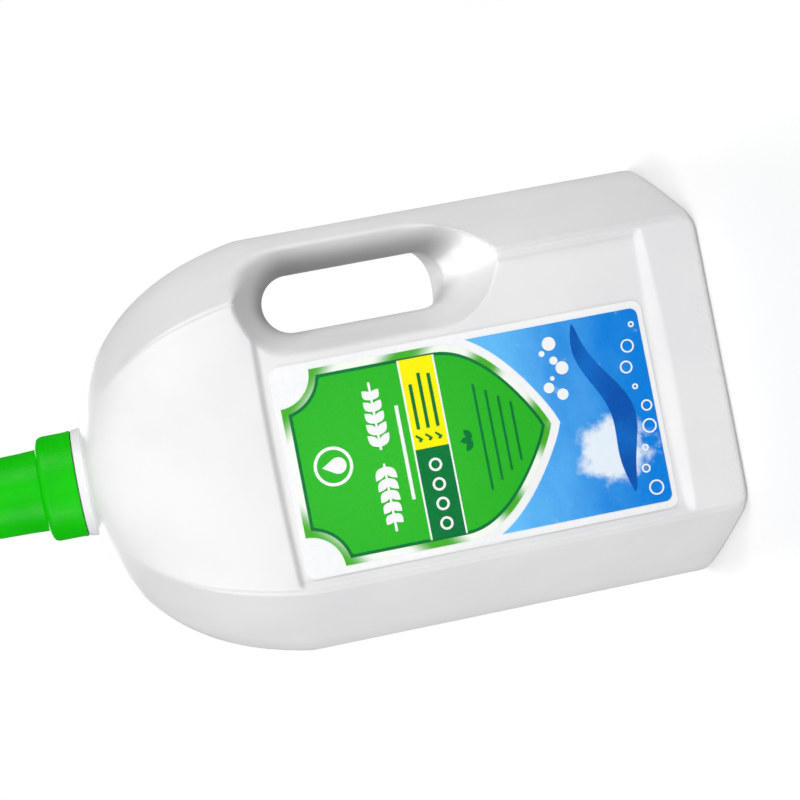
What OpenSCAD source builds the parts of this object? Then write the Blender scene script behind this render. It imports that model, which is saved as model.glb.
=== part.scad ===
// Laundry disinfectant bottle: one blow-moulded jug with a side grip hole,
// a pour spout pressed into its neck, a stepped measuring cap and two labels.
// Millimetres. Origin under the middle of the base, Z up, front towards -Y.

/* [Bottle body] */
// Width of the body over its two side corners
body_w = 180; // [170:1:190]
// Depth of the body from front face to back face
body_d = 108; // [100:1:116]
// Width of the flat front and back faces between their creases
face_w = 117.8; // [112:0.2:122]
// Drop of the straight walls' upper end below the upper rim of the label panel
wall_drop = 8.5; // [6:0.5:14]
// Height of the shoulder above the straight walls
dome_h = 81.2; // [78:0.2:90]
// Depth of the flat that the shoulder's sides have above the walls
dome_cut = 2; // [0:0.1:3]
// Thickness of the moulded wall
wall_t = 1.5; // [1:0.1:2]
// Rounding of the two upright side corners
side_r = 16; // [10:1:20]
// Rounding of the heel around the base
heel_r = 5; // [3:0.5:8]
// Width of the ring that the base rests on
foot_w = 9; // [6:0.5:14]
// Rise of the hollow under the base
push_up = 3; // [1:0.5:5]

/* [Label panel] */
// Depth of the sunk label panel
panel_sink = 2.2; // [1:0.1:3]
// Width of the sunk panel at its rim
panel_w = 116; // [112:0.5:117]
// Height of the lower rim of the panel
panel_z0 = 23; // [20:0.5:26]
// Height of the panel's upper rim above the label
panel_over = 5; // [4:0.5:8]
// Length of the slope from the rim down to the panel
panel_ramp = 3.4; // [2:0.2:4]

/* [Grip hole] */
// Width of the grip hole at its narrowest, on the parting plane
grip_w = 25.2; // [22:0.2:28]
// Height of the lowest point of the grip hole
grip_z0 = 90.4; // [86:0.2:95]
// Drop of the grip hole's highest point below the straight walls' upper end
grip_drop = 5.5; // [4:0.5:9]
// Rounding of the ridge between the flare and the faces of the body
ridge_r = 5; // [4:0.5:9]
// Rounding of the same ridge on the handle
handle_r = 26; // [8:1:30]
// Rounding of the two creases in the front face and the back face
crease_r = 1.2; // [0.8:0.1:2]
// Rounding of the same creases where they run into the heel
corner_r = 8; // [4:0.5:10]
// Reach of the hole's flare to each side, at the front face
flare_side = 12.9; // [11:0.1:14]
// Reach of the hole's flare above it
flare_up = 17; // [15:0.1:19]
// Reach of the hole's flare below it
flare_down = 7.4; // [6:0.1:9]

/* [Neck] */
// Diameter of the bead under the cap
bead_d = 46.6; // [44:0.2:48]
// Height of the bead
bead_h = 3.9; // [3:0.1:5]
// Outer diameter of the neck tube
neck_d = 38.4; // [37:0.2:39]
// Bevel of the bead's and the neck's edges
edge_cut = 0.6; // [0.3:0.1:0.8]
// Bore of the neck
neck_bore = 34.4; // [32:0.2:34.8]

/* [Pour spout] */
// Thickness of the flange that rests on the neck
flange_t = 1.2; // [0.8:0.1:2]
// Gap between the spout's plug and the bore of the neck
plug_gap = 0.05; // [0:0.05:0.3]
// Wall of the pour spout
spout_wall = 1.4; // [1:0.1:1.8]
// Depth of the drain trough below the flange
trough_h = 10; // [6:0.5:16]
// Outer diameter of the pouring tube
spout_d = 20; // [16:0.5:24]
// Height of the pouring tube above the flange
spout_h = 16; // [10:0.5:18]
// Slant of the pouring tube's lip in degrees
lip_angle = 28; // [15:1:35]
// Diameter of the drain hole in the trough
drain_d = 3; // [2:0.5:4]

/* [Measuring cap] */
// Outer diameter of the cap's collar
collar_d = 45.8; // [45:0.2:47]
// Height of the collar
collar_h = 15.1; // [14.4:0.1:17]
// Outer diameter of the cap's measuring cup
cup_d = 34.6; // [32:0.2:36]
// Height of the whole cap
cap_h = 38.1; // [35:0.1:42]
// Wall of the cap
cap_wall = 1.6; // [1.2:0.1:1.8]
// Gap between the cap's lower edge and the bead
cap_gap = 0.6; // [0.4:0.1:2]
// Rounding of the collar's upper edge across
collar_rx = 4.6; // [2:0.1:5]
// Rounding of the collar's upper edge upwards
collar_rz = 3; // [2:0.1:4]
// Rounding of the cup's closed end
cup_r = 2; // [1:0.1:3]
// Thickness of the sealing ring in the cap
seal_t = 1; // [0.6:0.1:1.2]
// Gap above and below the sealing ring
seal_gap = 0.25; // [0.1:0.05:0.4]

/* [Labels] */
// Width of the front label
label_w = 84.2; // [80:0.2:86]
// Height of the front label
label_h = 152; // [146:0.5:153]
// Distance of the label's left edge from the panel's left rim
label_side = 3.4; // [3.4:0.1:6]
// Height of the label's lower edge above the panel's lower rim
label_low = 6; // [4:0.5:9]
// Thickness of the label film
film_t = 0.3; // [0.1:0.05:0.4]
// Thickness of one layer of print
ink_t = 0.15; // [0.1:0.01:0.2]
// Rounding of the label's corners
label_r = 4; // [2:0.5:8]
// White border beside the print
border_x = 3; // [1:0.2:5]
// White border above and below the print
border_z = 2.1; // [1:0.1:4]
// Height of the blue field at the label's edges
blue_h = 72.2; // [60:0.2:90]
// Radius of the scoops in the shield's upper corners
scoop_r = 13.6; // [8:0.2:18]
// Height of the shield's point above the label's lower edge
point_h = 45; // [36:0.5:60]
// Height of the shield's rounded lower part
curve_h = 42; // [30:0.5:55]
// Width of the shield's pale rim
rim_w = 2.6; // [1:0.1:4]
// Width of the dark line inside the rim
outline_w = 1.3; // [0.6:0.1:2.4]
// Width of the white gap between the shield and the blue field
gap_w = 3.8; // [2:0.1:6]
// Height of the two-colour band
band_h = 13.6; // [10:0.2:18]
// Height of the band's lower edge above the label's lower edge
band_z = 87.1; // [84:0.1:92]
// Thickness of the white lines beside the band
line_w = 0.7; // [0.4:0.1:1.2]
// Radius of the ring in the shield's upper part
badge_r = 7.8; // [6:0.2:9.6]

/* [Hidden] */
$fn = 72;
label_z0 = panel_z0 + label_low;
panel_z1 = label_z0 + label_h + panel_over;
wall_h = panel_z1 - wall_drop;
grip_z1 = wall_h - grip_drop;
half_w = body_w / 2;
half_d = body_d / 2;
crease = face_w / body_w;
bead_r = bead_d / 2;
neck_r = neck_d / 2;
bore_r = neck_bore / 2;
top_z = wall_h + dome_h + wall_t / 3;
neck_h = cap_gap + collar_h - cap_wall - 2 * seal_gap - seal_t - flange_t;
neck_z1 = top_z + bead_h + neck_h;
cap_z0 = top_z + bead_h + cap_gap;
flange_z1 = neck_z1 + flange_t;
face_y = half_d - panel_sink;
grip_x = face_w / 2;
grip_r = grip_w / 2;
label_x = label_side + label_w / 2 - panel_w / 2;

// Smooth step from 0 at a to 1 at b
function step_up(a, b, v) = let (t = min(max((v - a) / (b - a), 0), 1)) t * t * (3 - 2 * t);
// Smaller of two numbers, rounded off where they meet
function soft_min(a, b, k) = let (h = max(k - abs(a - b), 0) / k) min(a, b) - h * h * k / 4;
function mix(a, b, t) = a + (b - a) * t;

// Half width and half depth of the plain body at height z, inside a wall of t
function rise(z) = min(max((z - wall_h) / dome_h, 0), 1);
function rise_in(z, t) = rise(z + 1.2 * t * rise(z));
function plain_hw(r) = half_w * sqrt(1 - pow(r * 0.9655, 2)) - dome_cut * 6.75 * r * pow(1 - r, 2);
function plain_hd(r) = bead_r + (half_d - bead_r) * sqrt(max(1 - r * r, 0));
function body_hw(z, t) = max(plain_hw(rise_in(z, t)), bead_r) - t * 1.15;
function body_hd(z, t) = plain_hd(rise_in(z, t)) - t;

// Side face: an upright corner of radius side_r that runs into a nearly flat face.
// Both are given as shares of the half width and the half depth.
side_b = 2 * side_r * half_w / (half_d * half_d);
side_a = (1 - side_b * (1 - crease)) / pow(1 - crease, 2);
function side_y(s) = let (q = max(1 - s, 0)) sqrt(side_a * q * q + side_b * q);
function round_y(s) = sqrt(max(1 - s * s, 0));
function roundness(z) = step_up(0.55, 1, rise(z));

// Distance outside the grip hole on the parting plane, and the flare's reach there
function grip_zc(z) = min(max(z, grip_z0 + grip_r), grip_z1 - grip_r);
function grip_dist(x, z, t) = norm([x - grip_x, z - grip_zc(z)]) - grip_r - t;
function grip_reach(z) =
    z > (grip_z0 + grip_z1) / 2
    ? mix(flare_side, flare_up, step_up(grip_z1 - 0.865 * grip_r, grip_z1 + 0.634 * flare_up, z))
    : mix(flare_down, flare_side, step_up(grip_z0 - 0.865 * flare_down, grip_z0 + 1.556 * grip_r, z));
function flare_y(x, z, t) =
    let (n = max(grip_dist(x, z, t), 0) / grip_reach(z))
    face_y * sqrt(0.925 * n * n + 0.075 * n);

// Sunk label panel
function panel_y(x, z) = panel_sink
    * step_up(0, panel_ramp, panel_w / 2 - abs(x))
    * step_up(0, panel_ramp, z - panel_z0)
    * step_up(0, panel_ramp, panel_z1 - z);

// Half depth of the body at x and z, where the plain section is hw by hd
function crease_k(z) = mix(corner_r, crease_r, step_up(0, 2 * heel_r, z));
function plain_y(x, z, hw, hd) =
    let (s = min(abs(x) / hw, 1),
         hexa = soft_min(hd * side_y(s), hd - panel_y(x, z), crease_k(z)))
    mix(hexa, hd * round_y(s), roundness(z));
function ridge_k(x, z) = mix(ridge_r, handle_r,
    step_up(grip_x, grip_x + grip_r, x) * step_up(grip_z0, grip_z0 + 2 * grip_r, z));
function skin_y(x, z, hw, hd, t) =
    let (plain = plain_y(x, z, hw, hd))
    x > 0 ? max(soft_min(plain, flare_y(x, z, t), min(ridge_k(x, z), plain)), 0) : plain;

// Half width of the grip hole at height z
function gap_at(z, t) =
    let (r = grip_r + t, d = abs(z - grip_zc(z))) d >= r ? 0 : sqrt(r * r - d * d);

// Where the flare's edge meets the plain body, between a place a inside the flare and a
// place b outside it, found by halving n times
function flare_edge(a, b, z, hw, hd, t, n) =
    let (m = (a + b) / 2)
    n == 0 ? m
    : flare_y(m, z, t) < plain_y(m, z, hw, hd) ? flare_edge(m, b, z, hw, hd, t, n - 1)
    : flare_edge(a, m, z, hw, hd, t, n - 1);

// Places across a row, from the left corner to the left edge of the grip hole and
// from its right edge to the right corner. Where there is no hole the edges meet.
left_n = 17;
right_n = 10;
function split_x(hw, t) = grip_x * hw / (half_w - t * 1.15);
function left_cols(hw, hd, gap, z, t) =
    let (c = hw * crease,
         edge = split_x(hw, t) - gap,
         f = min(flare_edge(edge, 0, z, hw, hd, t, 12), edge - ridge_r),
         p0 = panel_w / 2 * hw / half_w,
         p1 = p0 - panel_ramp * hw / half_w,
         hexa = concat(
            [for (s = [0, 0.24, 0.54, 0.86]) -hw + (hw - c) * s * s],
            [-c, -p0, -p1],
            [mix(-p1, f, 0.55), f - ridge_r / 2, f],
            [for (s = [0.88, 0.75, 0.62, 0.48, 0.34, 0.2, 0]) edge - (edge - f) * s * s]),
         n = len(hexa))
    [for (i = [0:n - 1]) mix(hexa[i], -hw * cos(i / (n - 1) * 132), roundness(z))];
function right_cols(hw, hd, gap, z, t) =
    let (edge = split_x(hw, t) + gap,
         m = max(flare_edge(edge, hw, z, hw, hd, t, 12), edge + ridge_r / 2),
         hexa = concat(
            [for (s = [0, 0.25, 0.48, 0.7, 0.88, 1]) mix(edge, m, s * s)],
            [for (s = [0.75, 0.5, 0.25, 0]) hw - (hw - m) * s * s]),
         n = len(hexa))
    [for (i = [0:n - 1]) mix(hexa[i], -hw * cos(132 + i / (n - 1) * 48), roundness(z))];

// Rows of a skin: [height, inset of the section, kind], where kind is 0 for a plain
// row, 1 for a row with the grip hole and 2 for a row at the hole's end
function foot_rows(t) = concat(
    [[push_up + t, heel_r + foot_w + 2 * push_up, 0], [t, heel_r + foot_w, 0]],
    [for (a = [0, 45, 90])
        [t + (heel_r - t) * (1 - cos(a)), (heel_r - t) * (1 - sin(a)), 0]]);
function wall_rows(t, n) =
    let (z0 = grip_z0 - t, z1 = grip_z1 + t, r = grip_r + t)
    concat(
    [for (k = [0, 0.5, 1]) [panel_z0 + panel_ramp * k, 0, 0]],
    [for (s = [1, 0.86, 0.72, 0.58, 0.44, 0.3, 0.15]) [z0 - flare_down * 1.3 * s * s, 0, 0]],
    [for (a = [0:n]) [z0 + r * (1 - cos(a * 90 / n)), 0, a == 0 ? 2 : 1]],
    [for (a = [0:n]) [z1 - r * (1 - sin(a * 90 / n)), 0, a == n ? 2 : 1]],
    [for (k = [0.05, 0.2, 0.5, 1]) [mix(z1, wall_h, k), 0, 0]],
    [[mix(wall_h, panel_z1 - panel_ramp, 0.5), 0, 0]]);
function top_rows(t, n) = concat(
    [for (k = [-1, -0.5, 0]) [panel_z1 + panel_ramp * k, 0, 0]],
    [for (a = [0:n]) [mix(panel_z1 + 1.2 * panel_ramp, wall_h + dome_h - 1.6 * t, sin(a * 90 / n)), 0, 0]]);
function skin_rows(t, n) = concat(foot_rows(t), wall_rows(t, n), top_rows(t, 2 * n));

// One row of points: the front from left to right, then the back from left to right
function loop_of(xs, ys, z) = concat(
    [for (i = [0:len(xs) - 1]) [xs[i], -ys[i], z]],
    [for (i = [0:len(xs) - 1]) [xs[i], ys[i], z]]);
function row_points(row, t) =
    let (z = row[0],
         hw = body_hw(z, t) - row[1] * 1.15,
         hd = body_hd(z, t) - row[1],
         gap = row[2] == 1 ? gap_at(z, t) : 0,
         left = left_cols(hw, hd, gap, z, t),
         right = right_cols(hw, hd, gap, z, t),
         xs = concat(left, right),
         n = len(xs),
         k = len(left),
         ys = [for (i = [0:n - 1])
            i == 0 || i == n - 1 || (row[2] > 0 && (i == k - 1 || i == k))
            ? 0 : skin_y(xs[i], z, hw, hd, t)])
    loop_of(xs, ys, z);
function ring_points(r, z) =
    let (xs = concat(
            [for (i = [0:left_n - 1]) -r * cos(i / (left_n - 1) * 132)],
            [for (i = [0:right_n - 1]) -r * cos(132 + i / (right_n - 1) * 48)]))
    loop_of(xs, [for (x = xs) r * round_y(min(abs(x) / r, 1))], z);

// The wall's rim lies this far inside the edges of the neck that stands on it
seat = 0.25;

// The whole wall as one closed skin: up the outside, over the neck and down inside
module body_wall() {
    outer = skin_rows(0, 4);
    inner = skin_rows(wall_t, 3);
    m = len(inner);
    kinds = concat([for (r = outer) r[2]], [0, 0], [for (k = [m - 1:-1:0]) inner[k][2]]);
    rows = concat(
        [for (r = outer) row_points(r, 0)],
        [ring_points(bead_r - seat, top_z), ring_points(bore_r + seat, top_z)],
        [for (k = [m - 1:-1:0]) row_points(inner[k], wall_t)]);
    cols = len(rows[0]) / 2;
    split = left_n - 1;
    last = len(rows) - 1;
    function id(r, i, back) =
        let (j = i == split + 1 && kinds[r] != 1 ? split : i,
             one = i == 0 || i == cols - 1 || (kinds[r] > 0 && (i == split || i == split + 1)))
        r * 2 * cols + j + (back && !one ? cols : 0);
    function ends(r) = concat(
        [for (i = [0:cols - 1]) if (i != split + 1) id(r, i, false)],
        [for (i = [cols - 2:-1:1]) if (i != split + 1) id(r, i, true)]);
    function fan(r, tip, flip) =
        let (e = ends(r), n = len(e))
        [for (k = [0:n - 1]) flip ? [tip, e[(k + 1) % n], e[k]] : [tip, e[k], e[(k + 1) % n]]];
    points = concat([for (r = rows) each r], [[0, 0, outer[0][0]], [0, 0, inner[0][0]]]);
    tips = len(points) - 2;
    faces = concat(
        fan(0, tips, false),
        [for (r = [0:last - 1], i = [0:cols - 2]) if (i != split)
            each [[id(r, i, false), id(r + 1, i, false), id(r + 1, i + 1, false)],
                  [id(r, i, false), id(r + 1, i + 1, false), id(r, i + 1, false)],
                  [id(r, i, true), id(r + 1, i + 1, true), id(r + 1, i, true)],
                  [id(r, i, true), id(r, i + 1, true), id(r + 1, i + 1, true)]]],
        fan(last, tips + 1, true));
    polyhedron(points = points, faces = faces, convexity = 10);
}

// Neck: the bead under the cap and the tube that the cap screws on
module neck() {
    rotate_extrude()
        polygon([[bore_r, top_z], [bead_r, top_z], [bead_r, top_z + bead_h - edge_cut],
            [bead_r - edge_cut, top_z + bead_h], [neck_r, top_z + bead_h],
            [neck_r, neck_z1 - edge_cut], [neck_r - edge_cut, neck_z1], [bore_r, neck_z1]]);
}

module bottle_shell() {
    color([0.95, 0.95, 0.94]) union() {
        body_wall();
        neck();
    }
}

// Pour spout: flange on the neck, plug in its bore, drain trough and pouring tube
module pour_spout() {
    plug_r = bore_r - plug_gap;
    tube_r = spout_d / 2;
    floor_z = neck_z1 - trough_h;
    lip_z = flange_z1 + spout_h;
    color([0.93, 0.94, 0.93]) difference() {
        rotate_extrude()
            polygon([[tube_r - spout_wall, floor_z - spout_wall],
                [plug_r - 0.6, floor_z - spout_wall], [plug_r, floor_z], [plug_r, neck_z1],
                [neck_r, neck_z1], [neck_r, flange_z1], [plug_r - spout_wall, flange_z1],
                [plug_r - spout_wall, floor_z], [tube_r, floor_z],
                [tube_r, lip_z + spout_d], [tube_r - spout_wall, lip_z + spout_d]]);
        translate([-tube_r, 0, lip_z])
            rotate([0, lip_angle, 0])
            translate([-spout_d, -spout_d, 0])
            cube([4 * spout_d, 2 * spout_d, 4 * spout_d]);
        translate([(tube_r + plug_r - spout_wall) / 2, 0, floor_z - spout_wall - 1])
            cylinder(d = drain_d, h = spout_wall + 2);
    }
}

// Quarter round from upright to level, for turned profiles
function quarter(cx, cz, rx, rz, n = 8) =
    [for (k = [0:n]) [cx + rx * cos(k * 90 / n), cz + rz * sin(k * 90 / n)]];

// Measuring cap: collar with the thread inside and a cup that closes it
module measuring_cap() {
    r1 = collar_d / 2;
    r2 = cup_d / 2;
    shelf = collar_h - cap_wall;
    color([0.14, 0.8, 0.06]) translate([0, 0, cap_z0])
        rotate_extrude()
        polygon(concat(
            [[r1 - cap_wall, 0], [r1 - 0.3, 0], [r1, 0.3]],
            quarter(r1 - collar_rx, collar_h - collar_rz, collar_rx, collar_rz),
            quarter(r2 - cup_r, cap_h - cup_r, cup_r, cup_r),
            [[0, cap_h], [0, cap_h - cap_wall], [r2 - cap_wall - 0.8, cap_h - cap_wall],
             [r2 - cap_wall, cap_h - cap_wall - 0.8], [r2 - cap_wall, shelf],
             [r1 - cap_wall, shelf]]));
}

// Sealing ring between the cap's shelf and the spout's flange
module sealing_ring() {
    color([0.9, 0.9, 0.88]) translate([0, 0, flange_z1 + seal_gap])
        difference() {
            cylinder(r = collar_d / 2 - cap_wall - 0.4, h = seal_t);
            translate([0, 0, -1]) cylinder(r = cup_d / 2 - cap_wall + 0.5, h = seal_t + 2);
        }
}

// Flat rectangle with round corners, its lower edge on the x axis
module plate(w, h, r) {
    translate([-w / 2, r]) square([w, h - 2 * r]);
    translate([-w / 2 + r, 0]) square([w - 2 * r, h]);
    for (x = [-w / 2 + r, w / 2 - r], z = [r, h - r]) translate([x, z]) circle(r);
}

// Sets a flat shape on the front label, in print layer k, or as the film where k is 0
module on_front(k) {
    lift = k == 0 ? 0 : film_t + (k - 1) * ink_t;
    translate([label_x, -face_y - lift, label_z0])
        rotate([90, 0, 0])
        linear_extrude(k == 0 ? film_t : ink_t) children();
}

// Shield field: scooped upper corners and a rounded point below, inset by e
field_w = label_w - 2 * border_x;
field_top = label_h - border_z;
function shield_half(e) =
    let (a = field_w / 2 - e, tip = point_h + e, h = curve_h - e, s = scoop_r + e)
    concat(
        [for (k = [0:24]) let (t = k / 24) [a * sin(90 * pow(t, 0.85)), tip + h * t]],
        [for (k = [0:12]) let (c = [a + e, field_top])
            [min(c[0] - s * sin(k * 7.5), a), min(c[1] - s * cos(k * 7.5), field_top - e)]]);
module shield(e) {
    pts = shield_half(e);
    polygon(concat(pts, [for (k = [len(pts) - 1:-1:1]) [-pts[k][0], pts[k][1]]]));
}
field_e = rim_w + outline_w;
band_x = field_w / 2 - field_e + outline_w / 2;

// Heights on the shield: from the band up to its top, and from its point up to the band
function above(k) = mix(band_z + band_h, field_top, k);
function below(k) = mix(point_h, band_z, k);

module front_label() {
    color([0.97, 0.97, 0.98]) on_front(0) plate(label_w, label_h, label_r);
}
module blue_print() {
    color([0.1, 0.5, 0.9]) on_front(1) difference() {
        translate([0, border_z]) plate(field_w, blue_h + curve_h, 3);
        shield(-gap_w);
        translate([-label_w, border_z + blue_h]) square([2 * label_w, label_h]);
    }
}
module shield_rim_print() {
    color([0.75, 0.9, 0.7]) on_front(1) difference() {
        shield(0);
        shield(rim_w);
    }
}
module shield_print() {
    color([0.19, 0.72, 0.17]) on_front(1) shield(field_e);
}

// Marks are drawn in hundredths of the field's width
u = field_w / 100;
module leaf(l, w) {
    polygon([for (k = [0:10]) [l * k / 10, w * sin(k * 18)],
             for (k = [9:-1:1]) [l * k / 10, -w * sin(k * 18)]]);
}
module bar(x0, x1, z, h) {
    translate([x0, z - h / 2]) square([x1 - x0, h]);
}
module ring(r, w) {
    difference() {
        circle(r);
        circle(r - w);
    }
}
module tick(s) {
    polygon([[0, 0], [s, -s], [2.8 * s, 1.2 * s], [2.4 * s, 1.8 * s], [s, 0.3 * s], [0.4 * s, 0.8 * s]]);
}
band_mid = band_z + band_h / 2;

// Dark green: the line around the shield, one half of the band, and small marks
module dark_green_print() {
    color([0.0, 0.5, 0.27]) union() {
        on_front(1) difference() {
            shield(rim_w);
            shield(field_e);
        }
        on_front(2) {
            translate([-band_x, band_z]) square([band_x, band_h]);
            for (k = [0:3]) bar((-27 + 4 * k) * u, (27 - 4 * k) * u, below(0.67 - 0.108 * k), 1.1 * u);
            for (a = [40, 90, 140]) translate([0, below(0.758)])
                rotate(a) translate([u, 0]) leaf(6 * u, 1.6 * u);
        }
        on_front(3) for (k = [-1:1]) {
            translate([3.4 * u, band_mid + k * band_h * 0.29]) tick(1.4 * u);
            bar(10 * u, (40 - 5 * abs(k + 0.4)) * u, band_mid + k * band_h * 0.29, 1.7 * u);
        }
    }
}
module band_yellow_print() {
    color([1, 0.98, 0.02]) on_front(2) translate([0, band_z]) square([band_x, band_h]);
}

// Deep blue: a wave that rises to the right over the blue field
function crest(t) = (0.232 + 0.179 * pow(sin(t * 90), 2) + 0.0305 * sin(t * 540)) * blue_h;
module wave_print() {
    w = field_w / 2;
    rows = [for (k = [0:40]) k / 40];
    color([0.0, 0.3, 0.72]) on_front(2)
        polygon(concat(
            [for (t = rows) [mix(-0.84 * w, 0.95 * w, t), crest(t)]],
            [for (k = [40:-1:0]) let (t = rows[k])
                [mix(-0.84 * w, 0.95 * w, t),
                 crest(t) - blue_h * (0.006 + 0.13 * pow(sin(t * 180), 0.8))]]));
}

// White: lines beside the band, a drop in a ring, sprays of leaves, and suds
module drop(r) {
    polygon(concat([for (k = [150:10:390]) [r * cos(k), r * sin(k)]], [[0, 2 * r]]));
}
module white_print() {
    color([0.99, 0.99, 0.99]) union() {
        on_front(2) {
            for (z = [band_z - line_w, band_z + band_h])
                translate([-band_x, z]) square([2 * band_x, line_w]);
            translate([0, above(0.672)]) ring(badge_r, 1.6 * u);
            translate([0, above(0.672) - 0.25 * badge_r]) drop(badge_r * 0.42);
            for (m = [0, 1]) mirror([m, 0]) translate([0, above(0.27)]) {
                for (k = [0:4]) for (a = [-40, 40])
                    translate([(5 + 6 * k) * u, 0]) rotate(a) leaf((8.6 - 0.5 * k) * u, 2.2 * u);
                bar(3.5 * u, 38 * u, 0, 1.2 * u);
            }
            bar(-24 * u, 24 * u, above(0.085), 1.8 * u);
            for (k = [0:8]) translate([(-42 + 10.5 * k) * u, (10 + 3.6 * sin(k * 75)) * u])
                ring((2.7 + 1.2 * cos(k * 110)) * u, 0.8 * u);
            for (k = [0:6]) translate([(40 - 4.4 * k) * u, (51 + 4.6 * sin(k * 95)) * u])
                circle((2.3 + 1.2 * cos(k * 130)) * u);
        }
        on_front(3) for (k = [0:3])
            translate([-band_x + (7 + 10 * k) * u, band_mid]) ring(3.4 * u, 1.2 * u);
    }
}
module back_label() {
    color([0.97, 0.97, 0.98]) translate([label_x, face_y + film_t, label_z0])
        rotate([90, 0, 0])
        linear_extrude(film_t) plate(label_w, label_h, label_r);
}

bottle_shell();
pour_spout();
sealing_ring();
measuring_cap();
front_label();
back_label();
blue_print();
shield_rim_print();
shield_print();
dark_green_print();
band_yellow_print();
wave_print();
white_print();
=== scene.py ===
"""Looks of the laundry disinfectant bottle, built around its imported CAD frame.

Everything is in metres in the row frame: Z up, the front label towards -Y and the grip hole
towards +X. The jug and its cap are built here as fine meshes that stand for their CAD nodes.
The spout, the seal, the labels and the print keep their CAD shapes and are dressed here.
"""

import logging
import math
from collections.abc import Callable
from dataclasses import dataclass, field
from enum import Enum

import bpy
import numpy as np
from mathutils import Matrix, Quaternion


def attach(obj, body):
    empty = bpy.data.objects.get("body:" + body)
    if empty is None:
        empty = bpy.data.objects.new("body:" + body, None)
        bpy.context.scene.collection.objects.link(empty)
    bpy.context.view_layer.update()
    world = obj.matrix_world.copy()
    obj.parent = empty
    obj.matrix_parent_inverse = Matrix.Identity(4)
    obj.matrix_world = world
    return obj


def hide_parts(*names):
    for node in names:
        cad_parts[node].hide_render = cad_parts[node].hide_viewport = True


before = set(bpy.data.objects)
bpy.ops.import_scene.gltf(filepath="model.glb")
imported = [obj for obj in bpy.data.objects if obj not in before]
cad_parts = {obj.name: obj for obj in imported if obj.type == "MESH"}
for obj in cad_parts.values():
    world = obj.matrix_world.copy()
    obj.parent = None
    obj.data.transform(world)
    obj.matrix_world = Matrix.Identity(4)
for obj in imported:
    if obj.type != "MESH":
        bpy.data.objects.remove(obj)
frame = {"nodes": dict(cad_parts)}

log = logging.getLogger("bottle")
MM = 0.001
Color = tuple[float, float, float]
Socket = bpy.types.NodeSocket
Radius = float | Callable[[np.ndarray, float], np.ndarray]


class Side(Enum):
    """The two skins of the jug on either side of the plane y = 0."""

    FRONT = -1.0
    BACK = 1.0


class Ink(Enum):
    """How the colour of a printed field runs over the label."""

    PLAIN = "plain"
    GLOW = "glow"
    FOIL = "foil"
    WATER = "water"


# Numbers and meshes


def srgb(r: float, g: float, b: float) -> Color:
    """Turns a colour written in 0 to 255 screen values into scene values.

    Args:
        r: Red.
        g: Green.
        b: Blue.

    Returns:
        The same colour in linear light.
    """
    v = np.array([r, g, b], float) / 255.0
    lin = np.where(v <= 0.04045, v / 12.92, ((v + 0.055) / 1.055) ** 2.4)
    return (float(lin[0]), float(lin[1]), float(lin[2]))


def step_up(a: float | np.ndarray, b: float | np.ndarray, v: np.ndarray) -> np.ndarray:
    """Smooth step: with t the share of the way from a to b, t times t times (3 - 2 t).

    Args:
        a: Value at which the step starts.
        b: Value at which the step ends.
        v: Values to map.

    Returns:
        Numbers from 0 to 1.
    """
    t = np.clip((v - a) / (b - a), 0.0, 1.0)
    return t * t * (3.0 - 2.0 * t)


def soft_min(a: np.ndarray, b: np.ndarray, k: float | np.ndarray) -> np.ndarray:
    """The smaller of a and b, rounded off where they differ by less than k.

    With h = max(k - |a - b|, 0) / k, the result is min(a, b) - h * h * k / 4.

    Args:
        a: First values.
        b: Second values.
        k: Reach of the rounding.

    Returns:
        The rounded smaller values.
    """
    h = np.maximum(k - np.abs(a - b), 0.0) / np.maximum(k, 1e-9)
    return np.minimum(a, b) - h * h * k / 4.0


def mix(a: np.ndarray | float, b: np.ndarray | float, t: np.ndarray | float) -> np.ndarray:
    """Straight blend, a + (b - a) * t.

    Args:
        a: Values at t = 0.
        b: Values at t = 1.
        t: Share of the way.

    Returns:
        The blended values.
    """
    return a + (b - a) * t


def steps(*stops: tuple[float, int]) -> np.ndarray:
    """Joins runs of even steps into one rising list.

    Args:
        *stops: Pairs of the value where a run ends and the number of steps in it. The first
            pair gives the start, and its number isn't used.

    Returns:
        All values, each once.
    """
    out = [np.array([stops[0][0]])]
    for (a, _), (b, n) in zip(stops[:-1], stops[1:]):
        out.append(np.linspace(a, b, n + 1)[1:])
    return np.concatenate(out)


def grid_faces(rows: int, cols: int, wrap: bool = False) -> np.ndarray:
    """Quads of a grid whose vertices are numbered row by row.

    Args:
        rows: Number of rows.
        cols: Number of vertices in a row.
        wrap: Joins the last column to the first.

    Returns:
        An array of quads with the shape (count, 4).
    """
    ids = np.arange(rows * cols).reshape(rows, cols)
    right = np.roll(ids, -1, axis=1) if wrap else ids[:, 1:]
    left = ids if wrap else ids[:, :-1]
    quads = np.stack([left[:-1], right[:-1], right[1:], left[1:]], axis=-1)
    return quads.reshape(-1, 4)


def weld(points: np.ndarray, quads: np.ndarray) -> tuple[np.ndarray, np.ndarray]:
    """Joins vertices that share a place and drops the quads that this closes up.

    A quad with two joined corners stays as a triangle, with its last corner set to -1.

    Args:
        points: Vertices with the shape (count, 3), in metres.
        quads: Quads with the shape (count, 4).

    Returns:
        The vertices that are left and the faces that use them.
    """
    keys = np.round(points / 2e-7).astype(np.int64)
    _, first, back = np.unique(keys, axis=0, return_index=True, return_inverse=True)
    faces = back.reshape(-1)[quads]
    same = faces == np.roll(faces, -1, axis=1)
    whole = faces[same.sum(axis=1) == 0]
    bent = faces[same.sum(axis=1) == 1]
    at = np.argmax(bent == np.roll(bent, -1, axis=1), axis=1)
    turn = (at[:, None] + np.arange(1, 5)[None, :]) % 4
    bent = np.take_along_axis(bent, turn, axis=1)
    bent[:, 3] = -1
    return points[first], np.concatenate([whole, bent])


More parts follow.
